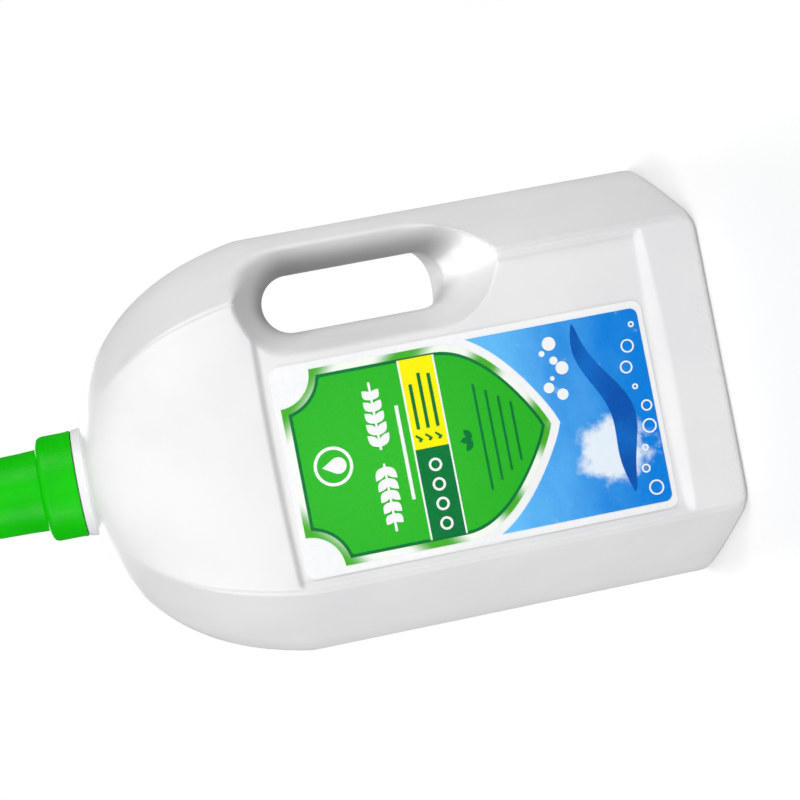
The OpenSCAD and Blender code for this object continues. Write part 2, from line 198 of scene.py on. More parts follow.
def make_object(name: str, points: np.ndarray, faces: np.ndarray, sharp: float) -> bpy.types.Object:
    """Makes a smooth-shaded mesh object at the origin.

    Args:
        name: Name of the object and its mesh.
        points: Vertices in metres, in the row frame.
        faces: Faces of four corners each, with -1 as the last corner of a triangle.
        sharp: Angle in degrees above which an edge is shaded sharp.

    Returns:
        The object, linked to the scene.
    """
    mesh = bpy.data.meshes.new(name)
    sizes = np.where(faces[:, 3] < 0, 3, 4)
    corners = faces.reshape(-1)[(faces >= 0).reshape(-1)].astype(np.int32)
    starts = np.concatenate([[0], np.cumsum(sizes)[:-1]]).astype(np.int32)
    mesh.vertices.add(len(points))
    mesh.vertices.foreach_set("co", points.astype(np.float32).reshape(-1))
    mesh.loops.add(len(corners))
    mesh.loops.foreach_set("vertex_index", corners)
    mesh.polygons.add(len(sizes))
    mesh.polygons.foreach_set("loop_start", starts)
    mesh.update(calc_edges=True)
    mesh.validate()
    mesh.polygons.foreach_set("use_smooth", np.ones(len(mesh.polygons), bool))
    mesh.set_sharp_from_angle(angle=math.radians(sharp))
    obj = bpy.data.objects.new(name, mesh)
    bpy.context.scene.collection.objects.link(obj)
    log.info("%s: %d vertices, %d faces", name, len(mesh.vertices), len(mesh.polygons))
    return obj


def rounded(points: list[tuple[float, float, float]], n: int = 8) -> np.ndarray:
    """Rounds the corners of an open profile.

    Each corner is replaced by a curve from one side to the other. With P the corner, A and B
    the places where the curve meets the sides and t from 0 to 1, a point of it is
    (1 - t) squared times A + 2 t (1 - t) P + t squared times B.

    Args:
        points: Corners as (radius, height, length that the rounding takes off each side).
        n: Number of steps in a rounding.

    Returns:
        The profile with the shape (count, 2).
    """
    p = np.array([q[:2] for q in points], float)
    cut = np.array([q[2] for q in points], float)
    out = [p[:1]]
    t = np.linspace(0.0, 1.0, n + 1)[:, None]
    for k in range(1, len(p) - 1):
        if cut[k] <= 0.0:
            out.append(p[k : k + 1])
            continue
        back, ahead = p[k - 1] - p[k], p[k + 1] - p[k]
        a = p[k] + back * cut[k] / np.linalg.norm(back)
        b = p[k] + ahead * cut[k] / np.linalg.norm(ahead)
        out.append((1 - t) ** 2 * a + 2 * t * (1 - t) * p[k] + t**2 * b)
    out.append(p[-1:])
    return np.concatenate(out)


def even(profile: np.ndarray, gap: float) -> np.ndarray:
    """Adds points to a profile so that none of its steps is longer than gap.

    Args:
        profile: Points with the shape (count, 2).
        gap: Longest step.

    Returns:
        The finer profile.
    """
    out = [profile[:1]]
    for a, b in zip(profile[:-1], profile[1:]):
        n = max(1, int(math.ceil(float(np.linalg.norm(b - a)) / gap)))
        out.append(a + (b - a) * (np.arange(1, n + 1) / n)[:, None])
    return np.concatenate(out)


# Finishes


class Shader:
    """Builds the nodes of one material, measured in the object's own metres."""

    def __init__(self, name: str) -> None:
        """Starts an empty material with a principled surface.

        Args:
            name: Name of the material.
        """
        self.material = bpy.data.materials.new(name)
        self.material.use_nodes = True
        self.tree = self.material.node_tree
        self.tree.nodes.clear()
        out = self.tree.nodes.new("ShaderNodeOutputMaterial")
        self.surface = self.tree.nodes.new("ShaderNodeBsdfPrincipled")
        self.tree.links.new(self.surface.outputs["BSDF"], out.inputs["Surface"])
        self.out = out
        self.place = self.tree.nodes.new("ShaderNodeTexCoord").outputs["Object"]

    def feed(self, socket: Socket, value: object) -> None:
        """Sets a socket to a number or a colour, or links another socket to it.

        Args:
            socket: Input to set.
            value: Number, tuple or output socket.
        """
        if isinstance(value, bpy.types.NodeSocket):
            self.tree.links.new(value, socket)
        elif isinstance(value, tuple) and len(value) == 3 and socket.type == "RGBA":
            socket.default_value = (*value, 1.0)
        else:
            socket.default_value = value

    def set(self, **inputs: object) -> None:
        """Sets inputs of the principled surface, with _ for the spaces in their names.

        Args:
            **inputs: Values by input name.
        """
        for name, value in inputs.items():
            self.feed(self.surface.inputs[name.replace("_", " ")], value)

    def axis(self, name: str) -> Socket:
        """One coordinate of the point that is shaded.

        Args:
            name: X, Y or Z.

        Returns:
            The coordinate in metres.
        """
        node = self.tree.nodes.new("ShaderNodeSeparateXYZ")
        self.tree.links.new(self.place, node.inputs[0])
        return node.outputs[name]

    def math(self, kind: str, a: object, b: object = 0.0) -> Socket:
        """A sum or other function of two numbers.

        Args:
            kind: Operation of the Math node.
            a: First number.
            b: Second number.

        Returns:
            The result.
        """
        node = self.tree.nodes.new("ShaderNodeMath")
        node.operation = kind
        self.feed(node.inputs[0], a)
        self.feed(node.inputs[1], b)
        return node.outputs[0]

    def length(self, a: Socket, b: Socket) -> Socket:
        """Root of a squared plus b squared.

        Args:
            a: Distance along one direction.
            b: Distance along the other.

        Returns:
            The straight distance.
        """
        squares = self.math("ADD", self.math("POWER", a, 2.0), self.math("POWER", b, 2.0))
        return self.math("SQRT", squares)

    def span(self, value: Socket, a: float, b: float,
             low: float = 0.0, high: float = 1.0) -> Socket:
        """Maps a value smoothly from the range a to b onto the range low to high.

        Args:
            value: Value to map.
            a: Value that gives low.
            b: Value that gives high.
            low: Result at a and beyond.
            high: Result at b and beyond.

        Returns:
            The mapped value.
        """
        node = self.tree.nodes.new("ShaderNodeMapRange")
        node.interpolation_type = "SMOOTHSTEP"
        self.feed(node.inputs["Value"], value)
        self.feed(node.inputs["From Min"], a)
        self.feed(node.inputs["From Max"], b)
        self.feed(node.inputs["To Min"], low)
        self.feed(node.inputs["To Max"], high)
        return node.outputs["Result"]

    def noise(self, size: float, detail: float = 2.0, stretch: Color = (1.0, 1.0, 1.0)) -> Socket:
        """Cloudy noise with features of about one size.

        Args:
            size: Size of a feature in metres.
            detail: Number of finer layers.
            stretch: Factors that squeeze the pattern along X, Y and Z.

        Returns:
            Noise between 0 and 1, about 0.5 on average.
        """
        mapping = self.tree.nodes.new("ShaderNodeMapping")
        self.tree.links.new(self.place, mapping.inputs["Vector"])
        mapping.inputs["Scale"].default_value = stretch
        node = self.tree.nodes.new("ShaderNodeTexNoise")
        self.tree.links.new(mapping.outputs[0], node.inputs["Vector"])
        node.inputs["Scale"].default_value = 1.0 / size
        node.inputs["Detail"].default_value = detail
        return node.outputs[0]

    def blend(self, share: object, a: object, b: object) -> Socket:
        """Blends two colours.

        Args:
            share: 0 for a, 1 for b.
            a: First colour.
            b: Second colour.

        Returns:
            The blended colour.
        """
        node = self.tree.nodes.new("ShaderNodeMix")
        node.data_type = "RGBA"
        self.feed(node.inputs[0], share)
        self.feed(node.inputs[6], a)
        self.feed(node.inputs[7], b)
        return node.outputs[2]

    def bump(self, height: Socket, depth: float, strength: float = 1.0,
             normal: Socket | None = None) -> Socket:
        """Tilts the surface as a relief would.

        Args:
            height: Relief between 0 and 1.
            depth: Height in metres that 1 stands for.
            strength: Share of the tilt that is used.
            normal: Relief that this one is laid over.

        Returns:
            The tilted normal.
        """
        node = self.tree.nodes.new("ShaderNodeBump")
        node.inputs["Strength"].default_value = strength
        node.inputs["Distance"].default_value = depth
        self.tree.links.new(height, node.inputs["Height"])
        if normal is not None:
            self.tree.links.new(normal, node.inputs["Normal"])
        return node.outputs[0]


@dataclass(frozen=True)
class ShellFinish:
    """Blow-moulded white plastic: satin, a little cloudy, with a parting line and painted shade at
    the grip hole's rim.
    """

    name: str = "shell_white"
    color: Color = srgb(235, 235, 235)
    shade: Color = srgb(230, 230, 231)
    scuff: Color = srgb(208, 208, 205)
    # Painted shade: the darker grey of the grip hole's rim and how far from the rim it reaches,
    # standing for the shade inside the hole.
    hole_shade: Color = srgb(166, 166, 165)
    gloss: tuple[float, float] = (0.32, 0.46)
    grip_x: float = 0.0589
    grip_r: float = 0.0126
    grip_z: tuple[float, float] = (0.1030, 0.1594)
    shade_reach: float = 0.011

    def painted_hole_shade(self, s: Shader) -> Socket:
        """Share of the painted shade around the grip hole's rim, a darker tone that stands for the
        shade inside the hole.

        It is full at the rim and gone 11 mm away from it. It is strongest under the handle and
        at the hole's upper end.

        Args:
            s: Shader that takes the tone.

        Returns:
            The share, from 0 to 1.
        """
        low, high = self.grip_z
        level = s.math("MINIMUM", s.math("MAXIMUM", s.axis("Z"), low), high)
        up = s.math("SUBTRACT", s.axis("Z"), level)
        side = s.math("SUBTRACT", s.axis("X"), self.grip_x)
        near = s.span(s.length(side, up), self.grip_r, self.grip_r + self.shade_reach, 1.0, 0.0)
        shade_side = s.span(s.math("ADD", side, up), -self.grip_r, self.grip_r, 0.0, 1.0)
        return s.math("MULTIPLY", s.math("POWER", near, 1.6), shade_side)

    def material(self) -> bpy.types.Material:
        """Builds the material.

        Returns:
            The finished material.
        """
        s = Shader(self.name)
        cloud = s.noise(0.045, 3.0)
        flow = s.noise(0.009, 4.0, (1.0, 1.0, 0.12))
        grain = s.noise(0.00075, 2.0)
        ripple = s.noise(0.02, 2.0, (1.0, 1.0, 0.6))
        tone = s.blend(s.span(cloud, 0.35, 0.7), self.color, self.shade)
        # Painted shade: blends the shell's tone to a darker grey around the grip hole's rim, where
        # the hole is in shade.
        tone = s.blend(self.painted_hole_shade(s), tone, self.hole_shade)
        rub = s.noise(0.0022, 5.0, (1.0, 1.0, 3.0))
        low = s.span(s.axis("Z"), 0.0, 0.012, 1.0, 0.0)
        worn = s.math("MULTIPLY", s.span(rub, 0.56, 0.68), s.math("MULTIPLY", low, 0.5))
        s.set(
            Base_Color=s.blend(worn, tone, self.scuff),
            Roughness=s.span(flow, 0.3, 0.7, *self.gloss),
            IOR=1.5,
            Specular_IOR_Level=0.35,
        )
        seam = s.math("ABSOLUTE", s.axis("Y"))
        relief = s.bump(grain, 0.00004, 0.5)
        relief = s.bump(ripple, 0.0007, 0.35, relief)
        relief = s.bump(flow, 0.00012, 0.4, relief)
        relief = s.bump(s.span(seam, 0.00012, 0.00035, 1.0, 0.0), 0.00022, 0.8, relief)
        s.set(Normal=relief)
        return s.material


@dataclass(frozen=True)
class MouldedFinish:
    """Injection-moulded plastic, glossy or satin, with fine handling marks."""

    name: str
    color: Color
    shade: Color
    gloss: tuple[float, float] = (0.14, 0.26)
    shine: float = 0.5
    soft: float = 0.0

    def material(self) -> bpy.types.Material:
        """Builds the material.

        Returns:
            The finished material.
        """
        s = Shader(self.name)
        cloud = s.noise(0.018, 3.0)
        marks = s.noise(0.0016, 6.0, (1.0, 1.0, 0.25))
        wave = s.noise(0.011, 1.0)
        s.set(
            Base_Color=s.blend(s.span(cloud, 0.3, 0.75), self.color, self.shade),
            Roughness=s.span(marks, 0.35, 0.7, *self.gloss),
            IOR=1.49,
            Specular_IOR_Level=self.shine,
            Subsurface_Weight=self.soft,
            Subsurface_Scale=0.002,
        )
        relief = s.bump(wave, 0.00025, 0.25)
        s.set(Normal=s.bump(marks, 0.00002, 0.35, relief))
        return s.material


@dataclass(frozen=True)
class FilmFinish:
    """White label film with a little gloss and a faint orange-peel surface."""

    name: str = "label_film"
    color: Color = srgb(246, 246, 247)
    shade: Color = srgb(242, 243, 244)

    def material(self) -> bpy.types.Material:
        """Builds the material.

        Returns:
            The finished material.
        """
        s = Shader(self.name)
        s.set(
            Base_Color=s.blend(s.span(s.noise(0.03, 3.0), 0.35, 0.7), self.color, self.shade),
            Roughness=s.span(s.noise(0.003, 4.0), 0.35, 0.7, 0.24, 0.36),
            IOR=1.5,
            Specular_IOR_Level=0.3,
        )
        s.set(Normal=film_relief(s))
        return s.material


def film_relief(s: Shader) -> Socket:
    """The slight unevenness of film that is stuck on a blow-moulded wall.

    Args:
        s: Shader of the film or of the ink on it.

    Returns:
        The tilted normal.
    """
    relief = s.bump(s.noise(0.03, 2.0, (1.0, 1.0, 0.7)), 0.0006, 0.3)
    return s.bump(s.noise(0.0011, 2.0), 0.00002, 0.5, relief)


@dataclass(frozen=True)
class InkFinish:
    """Glossy print on the label film."""

    name: str
    color: Color
    other: Color
    ink: Ink = Ink.PLAIN
    middle: tuple[float, float] = (-0.0125, 0.105)

    def from_middle(self, s: Shader) -> tuple[Socket, Socket]:
        """Distances across and up from the ink's middle, in metres."""
        across = s.math("SUBTRACT", s.axis("X"), self.middle[0])
        return across, s.math("SUBTRACT", s.axis("Z"), self.middle[1])

    def tone(self, s: Shader) -> Socket:
        """The ink's colour over the label.

        Args:
            s: Shader that takes the colour.

        Returns:
            The colour.
        """
        if self.ink is Ink.GLOW:
            return self.glow(s)
        if self.ink is Ink.FOIL:
            return self.foil(s)
        if self.ink is Ink.WATER:
            return self.water(s)
        return s.blend(s.span(s.noise(0.02, 3.0), 0.3, 0.8), self.color, self.other)

    def glow(self, s: Shader, half_w: float = 0.046, half_h: float = 0.05) -> Socket:
        """A field that runs from other at the middle to color outside an ellipse.

        Args:
            s: Shader that takes the colour.
            half_w: Half width of the ellipse.
            half_h: Half height of it.

        Returns:
            The colour.
        """
        across, up = self.from_middle(s)
        away = s.length(s.math("DIVIDE", across, half_w), s.math("DIVIDE", up, half_h))
        return s.blend(s.span(away, 0.1, 1.5), self.other, self.color)

    def foil(self, s: Shader, mitre: float = 0.201, stripe: float = 0.04) -> Socket:
        """A rim that is color at the shield's mitres and sways to other between them.

        It follows the cosine of (0.9 times the distance aside, plus the height, less the
        mitre's) over a stripe's length.

        Args:
            s: Shader that takes the colour.
            mitre: Height of the upper mitre, were it at the rim's middle.
            stripe: Length of a full sway.

        Returns:
            The colour.
        """
        across, _ = self.from_middle(s)
        aside = s.math("MULTIPLY", s.math("ABSOLUTE", across), 0.9)
        run = s.math("ADD", aside, s.math("SUBTRACT", s.axis("Z"), mitre))
        sway = s.math("COSINE", s.math("MULTIPLY", run, 2.0 * math.pi / stripe))
        return s.blend(s.span(sway, -0.55, 0.95, 1.0, 0.0), self.color, self.other)

    def water(self, s: Shader, foam: Color = srgb(236, 245, 252), puff_r: float = 0.021) -> Socket:
        """A field that runs from color at its foot to other higher up, with a puff of foam.

        Args:
            s: Shader that takes the colour.
            foam: Colour of the foam.
            puff_r: Radius about the middle beyond which there is no foam.

        Returns:
            The colour.
        """
        sway = s.math("MULTIPLY", s.noise(0.022, 3.0, (1.0, 1.0, 1.6)), 0.045)
        level = s.math("ADD", s.axis("Z"), sway)
        field_tone = s.blend(s.span(level, 0.055, 0.135), self.color, self.other)
        far = s.length(*self.from_middle(s))
        puffs = s.math("ADD", s.noise(0.006, 5.0), s.span(far, 0.004, puff_r, 0.34, -0.3))
        return s.blend(s.span(puffs, 0.32, 0.72, 0.0, 0.95), field_tone, foam)

    def material(self) -> bpy.types.Material:
        """Builds the material.

        Returns:
            The finished material.
        """
        s = Shader(self.name)
        s.set(
            Base_Color=self.tone(s),
            Roughness=s.span(s.noise(0.003, 4.0), 0.35, 0.7, 0.24, 0.36),
            IOR=1.5,
            Specular_IOR_Level=0.22,
            Normal=film_relief(s),
        )
        return s.material


# The jug


@dataclass
class Jug:
    """The blow-moulded jug: body, shoulder, grip hole and neck in one closed skin.

    The lengths are those of the CAD source, in millimetres.
    """

    half_w: float = 90.0
    half_d: float = 54.0
    crease_x: float = 58.9
    wall_h: float = 177.5
    dome_h: float = 81.2
    dome_cut: float = 2.2
    dome_end: float = 0.9655
    wall_t: float = 1.5
    side_r: float = 16.0
    heel_r: float = 3.2
    foot_w: float = 9.0
    push_up: float = 3.0
    panel_sink: float = 2.2
    panel_w: float = 116.0
    panel_z: tuple[float, float] = (23.3, 185.2)
    panel_ramp: float = 3.0
    ledge_bow: tuple[float, float] = (2.4, 1.5)
    ledge_wide: float = 4.4
    grip_r: float = 12.6
    grip_z: tuple[float, float] = (90.4, 172.0)
    flare_side: float = 12.9
    flare_up: float = 17.0
    flare_down: float = 7.4
    ridge_r: tuple[float, float] = (5.0, 26.0)
    crease_r: float = 1.2
    corner_r: float = 8.0
    groove: tuple[float, float] = (1.1, 0.85)
    bead_r: float = 23.3
    bead_h: float = 3.9
    neck_r: float = 19.2
    bore_r: float = 17.2
    neck_h: float = 11.4
    thread_pitch: float = 4.2
    thread_h: float = 1.35
    split_turn: float = 132.0
    finish: ShellFinish = field(default_factory=ShellFinish)

    @property
    def top_z(self) -> float:
        """Height at which the shoulder ends and the bead starts."""
        return self.wall_h + self.dome_h + 0.5

    def rise(self, z: np.ndarray, t: float) -> np.ndarray:
        """Share of the shoulder's height, moved in for a skin inside the wall."""
        r = np.clip((z - self.wall_h) / self.dome_h, 0.0, 1.0)
        return np.clip((z + 1.2 * t * r - self.wall_h) / self.dome_h, 0.0, 1.0)

    def half_sizes(self, z: np.ndarray, t: float) -> tuple[np.ndarray, np.ndarray]:
        """Half width and half depth of the section at each height.

        Width: 90 times the root of (1 - (0.9655 r) squared), less the shoulder's cut times
        6.75 q (1 - r) squared, where q is r squared over (r + 0.03). Depth: the neck's radius
        plus the rest of the half depth times the root of (1 - r squared). r is the rise.

        Args:
            z: Heights.
            t: Depth inside the outer skin.

        Returns:
            Half widths and half depths.
        """
        r = self.rise(z, t)
        flat = self.dome_cut * 6.75 * r * r / (r + 0.03) * (1.0 - r) ** 2
        arc = self.half_w * np.sqrt(1.0 - (self.dome_end * r) ** 2)
        hw = np.maximum(arc - flat, self.bead_r) - 1.15 * t
        hd = self.bead_r + (self.half_d - self.bead_r) * np.sqrt(np.maximum(1.0 - r * r, 0.0)) - t
        return hw, hd

    def roundness(self, z: np.ndarray) -> np.ndarray:
        """How far the section has gone from the six-sided one to a round one."""
        return step_up(0.55, 1.0, self.rise(z, 0.0))

    def grip_reach(self, z: np.ndarray) -> np.ndarray:
        """Reach of the flare around the grip hole at each height."""
        z0, z1 = self.grip_z
        up = mix(self.flare_side, self.flare_up,
                 step_up(z1 - 0.865 * self.grip_r, z1 + 0.634 * self.flare_up, z))
        down = mix(self.flare_down, self.flare_side,
                   step_up(z0 - 0.865 * self.flare_down, z0 + 1.556 * self.grip_r, z))
        return np.where(z > (z0 + z1) / 2, up, down)

    def grip_gap(self, z: np.ndarray, t: float) -> np.ndarray:
        """Half width of the grip hole at each height, 0 above and below it."""
        r = self.grip_r + t
        d = np.abs(z - np.clip(z, self.grip_z[0] + self.grip_r, self.grip_z[1] - self.grip_r))
        return np.sqrt(np.maximum(r * r - d * d, 0.0))

    def panel(self, x: np.ndarray, z: np.ndarray) -> np.ndarray:
        """Depth of the sunk label panel.

        Its upper and lower ledges bow away from the label in the middle: with
        a = 1 - (x over the half width) squared, each rim moves out by its bow times a,
        and the lower slope gets longer by its extra width times a.
        """
        half = self.panel_w / 2
        a = np.maximum(1.0 - (x / half) ** 2, 0.0)
        z0 = self.panel_z[0] - self.ledge_bow[0] * a
        z1 = self.panel_z[1] + self.ledge_bow[1] * a
        return (self.panel_sink
                * step_up(0.0, self.panel_ramp, half - np.abs(x))
                * step_up(0.0, self.panel_ramp + self.ledge_wide * a, z - z0)
                * step_up(0.0, self.panel_ramp, z1 - z))

    def plain_y(self, x: np.ndarray, z: np.ndarray, hw: np.ndarray, hd: np.ndarray,
                t: float) -> np.ndarray:
        """Half depth of the jug at x and z, as it would be without the grip hole.

        The section is the softer of a side face and the panelled front face, blended into
        an ellipse on the shoulder. The side face's depth is the half depth times the root of
        (a q squared + b q), where q is the distance from the side corner over the half
        width. A fine groove follows the creases between the faces.

        Args:
            x: Places across.
            z: Heights of the same shape.
            hw: Half widths of the sections.
            hd: Half depths of the sections.
            t: Depth inside the outer skin.

        Returns:
            Half depths of the same shape.
        """
        s = np.minimum(np.abs(x) / hw, 1.0)
        q = 1.0 - s
        side_b = 2.0 * self.side_r * self.half_w / self.half_d**2
        c = self.crease_x / self.half_w
        side_a = (1.0 - side_b * (1.0 - c)) / (1.0 - c) ** 2
        side = hd * np.sqrt(side_a * q * q + side_b * q)
        soft = mix(self.corner_r, self.crease_r, step_up(0.0, 2.0 * self.heel_r, z))
        hexa = soft_min(side, hd - self.panel(x, z), soft)
        plain = mix(hexa, hd * np.sqrt(np.maximum(1.0 - s * s, 0.0)), self.roundness(z))
        if t == 0.0:
            off = (np.abs(x) - c * hw) / self.groove[1]
            fade = step_up(3.0, 12.0, z) * (1.0 - step_up(0.3, 0.85, self.rise(z, 0.0)))
            plain = plain - self.groove[0] * np.exp(-off * off) * fade
        return plain

    def flare_y(self, x: np.ndarray, z: np.ndarray, t: float) -> np.ndarray:
        """Half depth of the flare around the grip hole at x and z.

        It is the face's depth times the root of (0.925 n squared + 0.075 n), where n is the
        distance from the hole's edge over the flare's reach.
        """
        zc = np.clip(z, self.grip_z[0] + self.grip_r, self.grip_z[1] - self.grip_r)
        away = np.hypot(x - self.crease_x, z - zc) - self.grip_r - t
        n = np.maximum(away, 0.0) / self.grip_reach(z)
        return (self.half_d - self.panel_sink) * np.sqrt(0.925 * n * n + 0.075 * n)

    def skin_y(self, x: np.ndarray, z: np.ndarray, hw: np.ndarray, hd: np.ndarray,
               t: float) -> np.ndarray:
        """Half depth of the jug at x and z, with the flare cut to the right of the middle.

        The ridge between the two is rounded, more so on the handle than beside the label.
        """
        plain = self.plain_y(x, z, hw, hd, t)
        grip = (step_up(self.crease_x, self.crease_x + self.grip_r, x)
                * step_up(self.grip_z[0], self.grip_z[0] + 2.0 * self.grip_r, z))
        soft = np.minimum(mix(*self.ridge_r, grip), np.maximum(plain, 1e-6))
        cut = soft_min(plain, self.flare_y(x, z, t), soft)
        return np.where(x > 0.0, np.maximum(cut, 0.0), plain)

    def flare_edge(self, a: np.ndarray, b: np.ndarray, z: np.ndarray, hw: np.ndarray,
                   hd: np.ndarray, t: float) -> np.ndarray:
        """Where the flare's edge meets the plain body in each row, found by halving.

        Args:
            a: Places inside the flare.
            b: Places outside it.
            z: Heights of the rows.
            hw: Half widths of the rows.
            hd: Half depths of the rows.
            t: Depth inside the outer skin.

        Returns:
            Places between a and b.
        """
        for _ in range(16):
            m = (a + b) / 2.0
            within = self.flare_y(m, z, t) < self.plain_y(m, z, hw, hd, t)
            a, b = np.where(within, m, a), np.where(within, b, m)
        return (a + b) / 2.0

    def columns(self, z: np.ndarray, hw: np.ndarray, hd: np.ndarray, gap: np.ndarray,
                t: float) -> tuple[np.ndarray, np.ndarray]:
        """Places across each row, left and right of the grip hole's middle.

        Columns crowd together at the corners, creases, ledges and rims, and one runs along
        the flare's edge. On the shoulder they turn into even steps around an ellipse.

        Args:
            z: Heights of the rows.
            hw: Half widths of the rows.
            hd: Half depths of the rows.
            gap: Half widths of the grip hole in the rows.
            t: Depth inside the outer skin.

        Returns:
            Two arrays, each with the shape (rows, columns).
        """
        k = hw / self.half_w
        split = self.crease_x * hw / (self.half_w - 1.15 * t)
        left_end, right_end = split - gap, split + gap
        c = self.crease_x * k
        p1 = (self.panel_w / 2 - self.panel_ramp) * k
        f = np.minimum(self.flare_edge(left_end, 0.0 * hw, z, hw, hd, t), left_end - 6.0 * k)
        m = np.maximum(self.flare_edge(right_end, hw, z, hw, hd, t), right_end + 4.0 * k)
        m1 = mix(m, hw, 0.4)

        def run(a: np.ndarray, b: np.ndarray, n: int, power: float = 1.0) -> np.ndarray:
            share = np.linspace(0.0, 1.0, n + 1)[1:] ** power
            return a[:, None] + (b - a)[:, None] * share[None, :]

        def run_in(a: np.ndarray, b: np.ndarray, n: int, power: float) -> np.ndarray:
            share = 1.0 - (1.0 - np.linspace(0.0, 1.0, n + 1)[1:]) ** power
            return a[:, None] + (b - a)[:, None] * share[None, :]

        left = np.concatenate([
            -hw[:, None], run(-hw, -c - 3.5 * k, 16, 1.7), run(-c - 3.5 * k, -c + 0.6 * k, 8),
            run(-c + 0.6 * k, -p1, 8), run(-p1, f - 4.0 * k, 14), run(f - 4.0 * k, f, 5),
            run_in(f, left_end, 22, 2.0)], axis=1)
        right = np.concatenate([
            right_end[:, None], run(right_end, m, 20, 2.0), run(m, m1, 8),
            run_in(m1, hw, 12, 1.8)], axis=1)
        level = self.roundness(z)[:, None]
        a, b = self.turns(left.shape[1], right.shape[1])
        return (mix(left, -hw[:, None] * np.cos(a)[None, :], level),
                mix(right, -hw[:, None] * np.cos(b)[None, :], level))

    def turns(self, left: int, right: int) -> tuple[np.ndarray, np.ndarray]:
        """Angles of a round row's points, from the left end to the right one.

        Args:
            left: Number of points left of the split.
            right: Number of points right of it.

        Returns:
            Angles left and right of the split.
        """
        return (np.radians(np.linspace(0.0, self.split_turn, left)),
                np.radians(np.linspace(self.split_turn, 180.0, right)))

    def heights(self, t: float) -> np.ndarray:
        """Heights of the rows between the heel and the shoulder's upper end.

        Args:
            t: Depth inside the outer skin.

        Returns:
            Rising heights, with the hole's two ends among them.
        """
        z0, z1, r = self.grip_z[0] - t, self.grip_z[1] + t, self.grip_r + t
        arc = 1.0 - np.cos(np.linspace(0.0, math.pi / 2, 19))
        near = np.linspace(1.0, 0.0, 17)[:-1] ** 2 * self.flare_down * 1.4
        above = np.linspace(0.0, 1.0, 37)[1:] ** 1.7 * self.flare_up * 1.15
        low = steps((self.heel_r + 0.5, 0), (19.5, 6), (29.5, 20), (z0 - near[0] - 1.0, 16))
        start = z1 + above[-1]
        end = self.wall_h + self.dome_h - 1.6 * t
        top = mix(start, end, np.sin(np.linspace(0.0, math.pi / 2, 45)[1:]))
        return np.concatenate([
            low, z0 - near, z0 + r * arc, np.linspace(z0 + r, z1 - r, 23)[1:-1],
            z1 - r * arc[::-1], z1 + above, top])

    def skin(self, t: float) -> dict[Side, tuple[np.ndarray, np.ndarray]]:
        """Points of one skin, from the middle of the base up to the shoulder's end.

        Args:
            t: Depth inside the outer skin.

        Returns:
            For each side the left and the right points, with the shape (rows, columns, 3).
        """
        heel = np.radians(np.linspace(0.0, 90.0, 10))
        base = np.array([0.0, 0.3, 0.6, 0.85, 1.0])
        foot = self.heel_r + self.foot_w + 2.0 * self.push_up
        wall = self.heights(t)
        z = np.concatenate([np.full(5, self.push_up + t), [mix(self.push_up, 0.0, 0.6) + t, t],
                            t + (self.heel_r - t) * (1.0 - np.cos(heel)), wall])
        inset = np.concatenate([np.full(5, foot), [foot - 3.4, self.heel_r + self.foot_w],
                                (self.heel_r - t) * (1.0 - np.sin(heel)), np.zeros(len(wall))])
        scale = np.concatenate([base, np.ones(len(z) - 5)])
        hw, hd = self.half_sizes(z, t)
        hw, hd = hw - 1.15 * inset, hd - inset
        z0, z1 = self.grip_z[0] - t, self.grip_z[1] + t
        inside = (z > z0 + 1e-6) & (z < z1 - 1e-6)
        at_end = (np.abs(z - z0) < 1e-6) | (np.abs(z - z1) < 1e-6)
        gap = np.where(inside, self.grip_gap(z, t), 0.0)
        left, right = self.columns(z, hw, hd, gap, t)
        out: dict[Side, tuple[np.ndarray, np.ndarray]] = {}
        parts = []
        for x, rim, corner in ((left, -1, 0), (right, 0, -1)):
            zz = np.broadcast_to(z[:, None], x.shape)
            y = self.skin_y(x, zz, hw[:, None], hd[:, None], t)
            y[:, corner] = 0.0
            y[inside | at_end, rim] = 0.0
            if t == 0.0:
                y = self.breathe(x, y, zz)
            parts.append((x, y, zz))
        for side in Side:
            made = [np.stack([x * scale[:, None], side.value * y * scale[:, None], zz], axis=-1)
                    for x, y, zz in parts]
            out[side] = (made[0], made[1])
        return out

    def breathe(self, x: np.ndarray, y: np.ndarray, z: np.ndarray) -> np.ndarray:
        """Draws large faces in by up to a fifth of a millimetre, as a cooled moulding does.

        The amount is 0.1 times (1 + sin(x / 17 + z / 23) sin(z / 31 - x / 41)), and it fades
        out towards the parting plane.
        """
        wave = 0.1 * (1.0 + np.sin(x / 17.0 + z / 23.0) * np.sin(z / 31.0 - x / 41.0))
        return np.maximum(y - wave * step_up(8.0, 30.0, y), 0.0)

    def ring(self, radius: Radius, z: float, left: int, right: int) -> dict[Side, tuple]:
        """A round row with the same number of points as the skin's rows.

        Args:
            radius: One radius, or a function of angle and height that gives it.
            z: Height.
            left: Number of points left of the split.
            right: Number of points right of it.

        Returns:
            Points of the row for each side.
        """
        out = {}
        for side in Side:
            parts = []
            for a in self.turns(left, right):
                turn = math.pi - a if side is Side.BACK else math.pi + a
                r = radius(turn, z) if callable(radius) else np.full(a.shape, radius)
                y = side.value * r * np.sin(a)
                y[np.abs(np.sin(a)) < 1e-9] = 0.0
                parts.append(np.stack([-r * np.cos(a), y, np.full(a.shape, z)], axis=-1))
            out[side] = (parts[0][None], parts[1][None])
        return out

